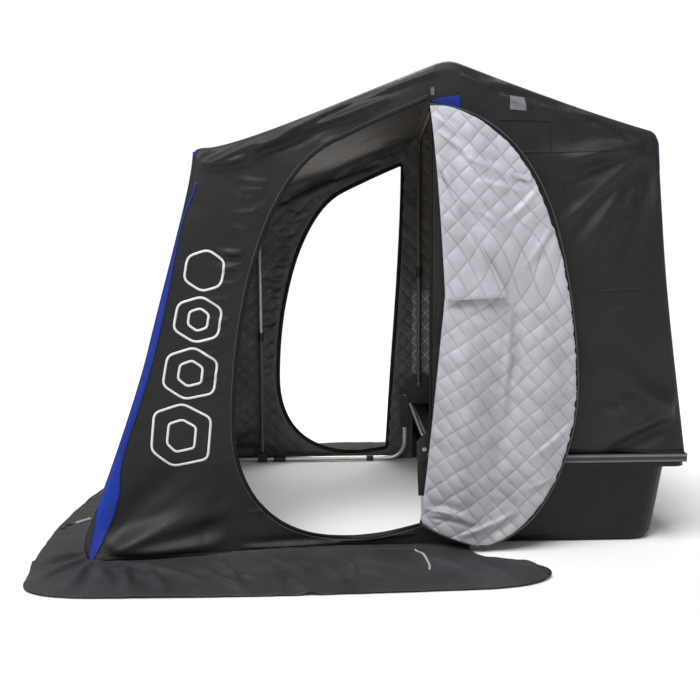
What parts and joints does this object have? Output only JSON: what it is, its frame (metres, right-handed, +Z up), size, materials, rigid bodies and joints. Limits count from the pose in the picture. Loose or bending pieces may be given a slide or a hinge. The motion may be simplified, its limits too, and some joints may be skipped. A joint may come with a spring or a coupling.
{
  "type": "ice fishing shelter",
  "caption": "Flip-over ice fishing shelter: tub sled, folding tubular bows, fabric canopy with a ground skirt and a zipped door on each side.",
  "frame": {"origin": "on the ground, at the middle of the footprint", "axes": "+X towards the sled end, +Y across the shelter towards the far side, +Z up"},
  "size_m": [2.675, 2.6, 1.92],
  "materials": {
    "silver_quilt": "quilted, silver-coated",
    "skirt_fabric": "matt woven",
    "canopy_black": "coated woven",
    "sled_plastic": "rotomoulded",
    "rim_strip": "satin",
    "black_plate": "powder coated",
    "zinc_bolt": "zinc plated",
    "black_plastic": "moulded",
    "zip_black": "moulded",
    "black_tube": "satin black",
    "aluminium_tube": "satin"
  },
  "bodies": {
    "sled": {"bracket_far": "black_plate", "bracket_near": "black_plate", "bracket_strut_far": "aluminium_tube", "bracket_strut_near": "aluminium_tube", "pivot_bolt_apex_far": "zinc_bolt", "pivot_bolt_apex_near": "zinc_bolt", "pivot_bolt_base_far": "zinc_bolt", "pivot_bolt_base_near": "zinc_bolt", "pivot_bolt_rear_far": "zinc_bolt", "pivot_bolt_rear_near": "zinc_bolt", "rear_wall": "canopy_black", "rim_strip_far": "rim_strip", "rim_strip_near": "rim_strip", "rim_strip_rear": "rim_strip", "roof_rear": "canopy_black", "side_wall_rear_far": "canopy_black", "side_wall_rear_near": "canopy_black", "sled_tub": "sled_plastic"},
    "base_bow": {"base_collar_far": "black_plastic", "base_collar_near": "black_plastic", "base_hoop": "aluminium_tube", "base_knuckle_far": "black_plate", "base_knuckle_near": "black_plate", "base_leg_far": "aluminium_tube", "base_leg_near": "aluminium_tube", "base_sleeve_far": "black_plastic", "base_sleeve_near": "black_plastic", "foot_clamp_far": "black_plastic", "foot_clamp_near": "black_plastic", "foot_pin_far": "zinc_bolt", "foot_pin_near": "zinc_bolt", "front_wall": "canopy_black", "roof_front": "canopy_black", "side_wall_front_far": "canopy_black", "side_wall_front_near": "canopy_black", "skirt_far": "skirt_fabric", "skirt_front": "skirt_fabric", "skirt_near": "skirt_fabric", "zip_slider_far": "zip_black", "zip_slider_near": "zip_black"},
    "front_pole_near": {"front_pole_lower_near": "black_tube", "front_pole_collar_near": "black_plastic"},
    "front_pole_top_near": {"front_pole_upper_near": "aluminium_tube"},
    "front_pole_far": {"front_pole_lower_far": "black_tube", "front_pole_collar_far": "black_plastic"},
    "front_pole_top_far": {"front_pole_upper_far": "aluminium_tube"},
    "apex_bow": {"apex_collar_far": "black_plastic", "apex_collar_near": "black_plastic", "apex_lower_far": "black_tube", "apex_lower_near": "black_tube"},
    "apex_top": {"apex_hoop": "black_tube"},
    "rear_bow": {"rear_collar_far": "black_plastic", "rear_collar_near": "black_plastic", "rear_lower_far": "aluminium_tube", "rear_lower_near": "aluminium_tube"},
    "rear_top": {"rear_hoop": "aluminium_tube"},
    "door_near": {"door_near": "silver_quilt", "window_flap_near": "silver_quilt"},
    "door_far": {"door_far": "silver_quilt", "window_flap_far": "silver_quilt"}
  },
  "joints": [
    {"name": "fold", "type": "hinge", "parent": "sled", "child": "base_bow", "pos_m": [0.265, 0, 0.4], "axis": [0, 1, 0], "range_deg": [0, 184], "deforming": ["front_wall", "roof_front", "side_wall_front_far", "side_wall_front_near", "skirt_far", "skirt_front", "skirt_near", "rear_wall", "roof_rear", "side_wall_rear_far", "side_wall_rear_near"]},
    {"name": "apex_fold", "type": "hinge", "parent": "sled", "child": "apex_bow", "pos_m": [0.35, 0, 0.47], "axis": [0, 1, 0], "range_deg": [0, 82.5]},
    {"name": "apex_slide", "type": "slide", "parent": "apex_bow", "child": "apex_top", "axis": [0, 0, -1], "range_m": [0, 0.503]},
    {"name": "rear_fold", "type": "hinge", "parent": "sled", "child": "rear_bow", "pos_m": [0.44, 0, 0.41], "axis": [0, 1, 0], "range_deg": [0, 56]},
    {"name": "rear_slide", "type": "slide", "parent": "rear_bow", "child": "rear_top", "axis": [-0.509, 0, -0.8607], "range_m": [0, 0.523]},
    {"name": "front_pole_fold_near", "type": "hinge", "parent": "base_bow", "child": "front_pole_near", "pos_m": [-0.552, -0.7755, 0.078], "axis": [-1, 0, 0], "range_deg": [0, 88.5]},
    {"name": "front_pole_slide_near", "type": "slide", "parent": "front_pole_near", "child": "front_pole_top_near", "axis": [0, 0, -1], "range_m": [0, 0.523]},
    {"name": "front_pole_fold_far", "type": "hinge", "parent": "base_bow", "child": "front_pole_far", "pos_m": [-0.588, 0.7755, 0.078], "axis": [1, 0, 0], "range_deg": [0, 88.5]},
    {"name": "front_pole_slide_far", "type": "slide", "parent": "front_pole_far", "child": "front_pole_top_far", "axis": [0, 0, -1], "range_m": [0, 0.523]},
    {"name": "door_swing_near", "type": "hinge", "parent": "sled", "child": "door_near", "pos_m": [0.28, -0.84025, 0.9], "axis": [0, 0, -1], "range_deg": [0, 180]},
    {"name": "door_swing_far", "type": "hinge", "parent": "sled", "child": "door_far", "pos_m": [0.28, 0.84025, 0.9], "axis": [0, 0, 1], "range_deg": [0, 180]}
  ],
  "couplings": [
    {"joint": "apex_fold", "follows": "fold", "ratio": 0.44565},
    {"joint": "rear_fold", "follows": "fold", "ratio": 0.30163},
    {"joint": "apex_slide", "follows": "fold", "m_per_rad": 0.1557},
    {"joint": "rear_slide", "follows": "fold", "m_per_rad": 0.16192},
    {"joint": "front_pole_fold_near", "follows": "fold", "ratio": 0.47826},
    {"joint": "front_pole_slide_near", "follows": "fold", "m_per_rad": 0.16192},
    {"joint": "front_pole_fold_far", "follows": "fold", "ratio": 0.47826},
    {"joint": "front_pole_slide_far", "follows": "fold", "m_per_rad": 0.16192}
  ]
}
